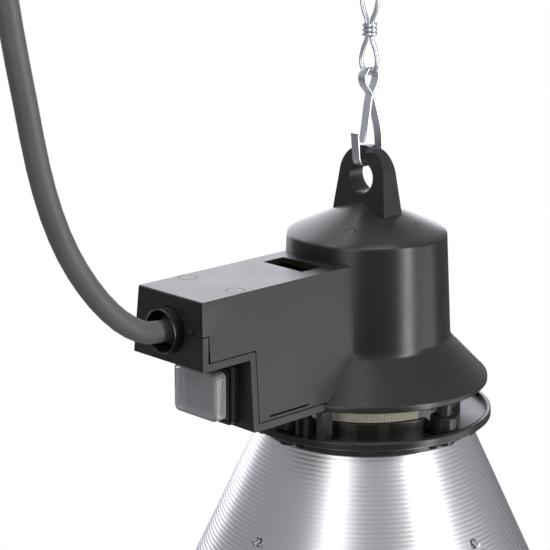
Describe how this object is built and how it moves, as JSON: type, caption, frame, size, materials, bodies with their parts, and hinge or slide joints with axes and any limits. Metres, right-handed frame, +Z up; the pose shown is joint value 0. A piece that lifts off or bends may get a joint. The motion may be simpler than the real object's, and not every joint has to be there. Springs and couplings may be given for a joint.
{
  "type": "hanging heat and grow lamp",
  "caption": "Hanging reflector lamp with a moulded housing, terminal arm, switch under a clear hood, wire guard, screw-in bulb, knotted chain with strip hooks and a coiled mains lead.",
  "frame": {"origin": "inside of the top hook, where the part hangs", "axes": "+Z up, lamp axis along Z through the origin, terminal arm and switch along -X, coil of lead on the +Y side"},
  "size_m": [0.3329, 0.2152, 0.5635],
  "materials": {
    "housing_black": "satin moulding, lightly textured",
    "gloss_black": "glossy moulding",
    "zinc": "bright zinc plate",
    "aluminium": "spun, satin",
    "brass": "drawn brass",
    "porcelain": "glazed",
    "fibre": "dull ribbed ring",
    "rubber": "matte cord sheath",
    "clear": "clear hood",
    "glass": "clear hard glass"
  },
  "bodies": {
    "ceiling_hook": {"ceiling_hook": "zinc"},
    "chain": {"snap_hook": "zinc", "chain_link_1": "zinc", "chain_link_2": "zinc", "chain_link_3": "zinc", "chain_link_4": "zinc", "chain_link_5": "zinc", "lead_coil": "rubber", "coil_tie": "gloss_black", "plug_body": "gloss_black", "plug_pin_1": "brass", "plug_pin_2": "brass"},
    "lamp": {"housing": "housing_black", "arm_cover": "housing_black", "gland_ring": "housing_black", "cord_clamp": "housing_black", "mounting_flange": "housing_black", "cord_grommet": "gloss_black", "switch_bezel": "gloss_black", "switch_body": "gloss_black", "clamp_screw_1": "zinc", "clamp_screw_2": "zinc", "cover_screw_1": "zinc", "cover_screw_2": "zinc", "flange_screw_1": "zinc", "flange_screw_2": "zinc", "flange_screw_3": "zinc", "flange_screw_4": "zinc", "ring_screw_1": "zinc", "ring_screw_2": "zinc", "ring_screw_3": "zinc", "ring_screw_4": "zinc", "bracket_screw_1": "zinc", "bracket_screw_2": "zinc", "reflector_clamp": "zinc", "wire_guard": "zinc", "holder_bracket": "zinc", "reflector": "aluminium", "socket_shell": "brass", "centre_contact": "brass", "holder_nut": "brass", "lampholder": "porcelain", "terminal_block": "porcelain", "air_ring": "fibre", "lead_span": "rubber", "switch_hood": "clear"},
    "rocker": {"switch_rocker": "gloss_black"},
    "bulb": {"bulb_cap": "brass", "bulb_glass": "glass"}
  },
  "joints": [
    {"name": "chain_swing", "type": "hinge", "parent": "ceiling_hook", "child": "chain", "pos_m": [0, 0, -0.0421], "axis": [0, 1, 0], "range_deg": [-35, 35]},
    {"name": "lamp_swing", "type": "hinge", "parent": "chain", "child": "lamp", "pos_m": [0, 0, -0.28297], "axis": [1, 0, 0], "range_deg": [-25, 25]},
    {"name": "switch_rocker", "type": "hinge", "parent": "lamp", "child": "rocker", "pos_m": [-0.0967, 0, -0.36507], "axis": [0, 0, 1], "range_deg": [-14, 0]},
    {"name": "bulb_turn", "type": "hinge", "parent": "lamp", "child": "bulb", "pos_m": [0, 0, -0.42887], "axis": [0, 0, 1], "continuous": true}
  ]
}
